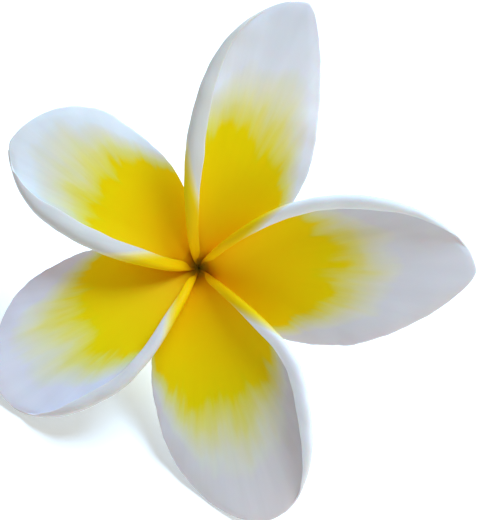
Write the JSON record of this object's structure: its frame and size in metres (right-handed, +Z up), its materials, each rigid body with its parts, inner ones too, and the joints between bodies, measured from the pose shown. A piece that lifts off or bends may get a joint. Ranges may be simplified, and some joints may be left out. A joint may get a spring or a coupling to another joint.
{
  "type": "plumeria flower",
  "caption": "Single plumeria blossom lying on its side: overlapping petals with rolled margins, narrow corolla tube, small calyx and a short cut stalk.",
  "frame": {"origin": "on the surface the blossom lies on, below the middle of its bounding box", "axes": "+Z up; +X to the right as the open face is seen from the front; the face looks up and towards -Y, along the tube's axis"},
  "size_m": [0.076, 0.0557, 0.0577],
  "materials": {
    "petal": "satin",
    "tube": "satin",
    "calyx": "satin",
    "stalk": "satin",
    "stamen": "matte",
    "pistil": "matte"
  },
  "bodies": {
    "root": {"petal_top": "petal", "petal_right": "petal", "petal_bottom": "petal", "petal_lower_left": "petal", "petal_upper_left": "petal", "corolla_tube": "tube", "calyx": "calyx", "stalk": "stalk", "stamen_1": "stamen", "stamen_2": "stamen", "stamen_3": "stamen", "stamen_4": "stamen", "stamen_5": "stamen", "pistil": "pistil"}
  },
  "joints": []
}
